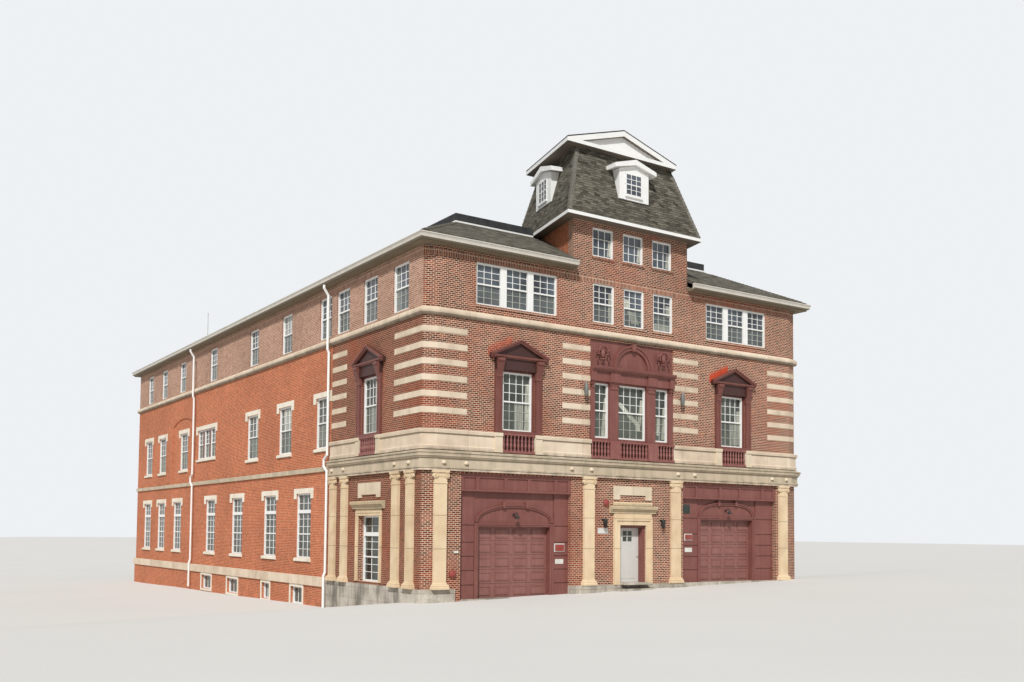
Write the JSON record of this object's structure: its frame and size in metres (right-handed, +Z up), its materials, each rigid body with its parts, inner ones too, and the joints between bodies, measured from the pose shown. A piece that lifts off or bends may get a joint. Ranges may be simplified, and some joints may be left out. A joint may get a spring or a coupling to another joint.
{
  "type": "fire station building",
  "caption": "Three-storey brick fire station with stone pilasters and cornice, two vehicle bays, hinged entrance door, hip roof and mansard tower.",
  "frame": {"origin": "middle of the plan, level with the lowest ground line where the building rests", "axes": "+Z up, -Y towards the street front, +X to the right as seen from the street"},
  "size_m": [19.07, 37.9, 18.74],
  "materials": {
    "granite": "rough",
    "orange_brick": "matte",
    "dark_brick": "matte",
    "floor_slab": "matte",
    "limestone": "matte",
    "white_stone": "matte",
    "maroon_paint": "painted",
    "red_door_metal": "satin",
    "grey_door_metal": "satin",
    "glass": "clear",
    "white_paint": "painted",
    "shingles": "rough",
    "roof_felt": "matte",
    "dark_metal": "satin",
    "soffit_paint": "painted",
    "grey_lamp_metal": "satin",
    "red_metal": "gloss"
  },
  "bodies": {
    "building": {"front_foundation": "granite", "side_foundations": "orange_brick", "rear_foundation": "orange_brick", "entrance_step": "granite", "ground_floor": "floor_slab", "upper_floors": "floor_slab", "front_piers": "dark_brick", "front_header": "dark_brick", "front_wall_second": "dark_brick", "centre_wall": "dark_brick", "front_wall_third": "dark_brick", "left_wall": "orange_brick", "right_wall": "orange_brick", "rear_wall": "orange_brick", "tower_front_wall": "dark_brick", "tower_back_walls": "orange_brick", "entablature": "limestone", "pedestal_course": "limestone", "stone_bands": "limestone", "pilasters": "limestone", "stone_stripes": "limestone", "stone_surrounds": "limestone", "stone_ornaments": "limestone", "pediment_surrounds": "maroon_paint", "centre_bay": "maroon_paint", "balustrades": "maroon_paint", "garage_surrounds": "maroon_paint", "garage_doors": "red_door_metal", "entrance_frame": "maroon_paint", "front_window_frames": "white_paint", "side_window_frames": "white_paint", "window_glass": "glass", "window_lintels": "white_stone", "window_sills": "white_stone", "brick_sills": "dark_brick", "soffits": "soffit_paint", "gutters": "white_paint", "end_roof_slopes": "shingles", "side_roof_slopes": "shingles", "roof_deck": "roof_felt", "drip_edge": "white_paint", "tower_eave": "white_paint", "mansard_roof": "shingles", "tower_gable": "white_paint", "tower_roof": "roof_felt", "dormers": "white_paint", "downspouts": "white_paint", "wall_lamps": "dark_metal", "bay_lamps": "grey_lamp_metal", "alarm_bells": "red_metal", "antenna": "white_paint"},
    "door_leaf": {"entrance_door": "grey_door_metal", "entrance_door_glass": "glass"}
  },
  "joints": [
    {"name": "entrance_door_hinge", "type": "hinge", "parent": "building", "child": "door_leaf", "pos_m": [-0.549, -18.155, 1.46], "axis": [0, 0, 1], "range_deg": [0, 90]}
  ]
}
